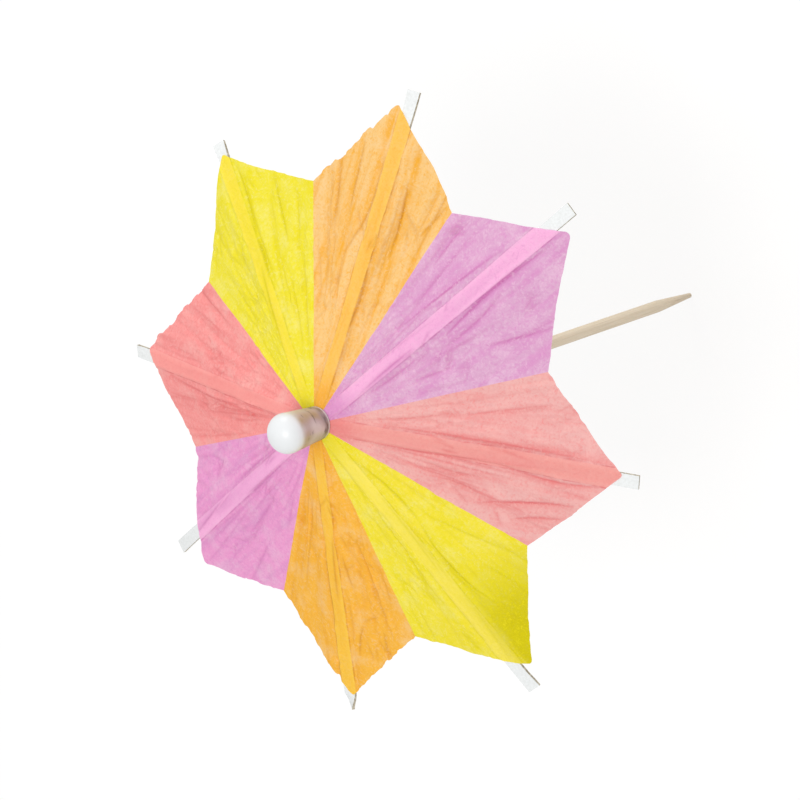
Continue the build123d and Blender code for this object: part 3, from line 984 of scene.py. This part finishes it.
floorMesh = bpy.data.meshes.new("studioFloor")
half = studio["floorHalf"]
floorCorners = [(-half, -half, 0), (half, -half, 0), (half, half, 0), (-half, half, 0)]
floorMesh.from_pydata(floorCorners, [], [(0, 1, 2, 3)])
floor = bpy.data.objects.new("studioFloor", floorMesh)
bpy.context.scene.collection.objects.link(floor)
floorPaint, tree, shader = newMaterial(
    "paleFloor", Roughness=0.9, Specular_IOR_Level=0.1, Base_Color=studio["floor"])
ray = addNode(tree, "LightPath").outputs
seen = addNode(tree, "Math", larger, {0: ray["Is Camera Ray"], 1: ray["Is Glossy Ray"]})
seenToo = addNode(tree, "Math", larger, {0: seen, 1: ray["Is Transmission Ray"]})
part = addNode(tree, "Math", multiply, {0: seenToo, 1: studio["whiteness"]})
white = addNode(tree, "Emission", inputs={"Color": studio["white"], "Strength": 1.0})
mixed = addNode(tree, "MixShader", inputs={0: part, 1: shader, 2: white})
plug(tree, tree.nodes["Material Output"], {"Surface": mixed})
floorMesh.materials.append(floorPaint)

scene = bpy.context.scene
scene.world = bpy.data.worlds.new("softStudio")
scene.world.use_nodes = True
sky = scene.world.node_tree
sky.nodes.clear()
ray = addNode(sky, "LightPath").outputs
seen = addNode(sky, "Math", larger, {0: ray["Is Camera Ray"], 1: ray["Is Transmission Ray"]})
level = addNode(sky, "MapRange", inputs={0: seen, 3: studio["sky"], 4: 1.0})
light = addNode(sky, "Background", inputs={"Color": studio["white"], "Strength": level})
addNode(sky, "OutputWorld", inputs={"Surface": light})

# the photo's viewpoint, 51 degrees above the level and rolled
view = {
    "distance": 395 * mm,
    "shift": (-11.378 * mm, -3.175 * mm),
    "sensor": 36,
    "focalPixels": 2987.85,
    "picturePixels": 800,
    "right": (0.80053, 0.06918, -0.59529),
    "up": (-0.23485, 0.95008, -0.20542),
    "back": (0.55136, 0.30425, 0.77681),
}
axes = [Vector(view[n]) for n in ("right", "up", "back")]
right, up, back = axes
shiftRight, shiftUp = view["shift"]
spot = Vector((0, 0, apexHeight)) - right * shiftRight - up * shiftUp + back * view["distance"]
cameraData = bpy.data.cameras.new("camera")
cameraData.sensor_width = view["sensor"]
cameraData.lens = view["sensor"] * view["focalPixels"] / view["picturePixels"]
cameraData.clip_start = 0.01
camera = bpy.data.objects.new("camera", cameraData)
camera.matrix_world = Matrix.Translation(spot) @ Matrix(axes).transposed().to_4x4()
scene.collection.objects.link(camera)
scene.camera = camera

# metres from the target to the right, up and towards the camera, as it sees them: the key stands beside it,
# the side light low and far round, where it draws the creases and rounds the stick
lamps = {
    "keyLight": {"energy": 5.1, "size": 0.28, "from": (-0.36, -0.20, 0.9)},
    "sideLight": {"energy": 0.70, "size": 0.20, "from": (-0.17, 0.47, 0.08)},
}
target = Vector((0, 0, 0.08))
for name, make in lamps.items():
    offset = sum((axis * length for axis, length in zip(axes, make["from"])), Vector())
    lampData = bpy.data.lights.new(name, "AREA")
    lampData.energy = make["energy"]
    lampData.size = make["size"]
    lamp = bpy.data.objects.new(name, lampData)
    lamp.location = target + offset
    lamp.rotation_euler = (-offset).to_track_quat("-Z", "Y").to_euler()
    scene.collection.objects.link(lamp)

scene.view_settings.view_transform = "Standard"
print("studio set")
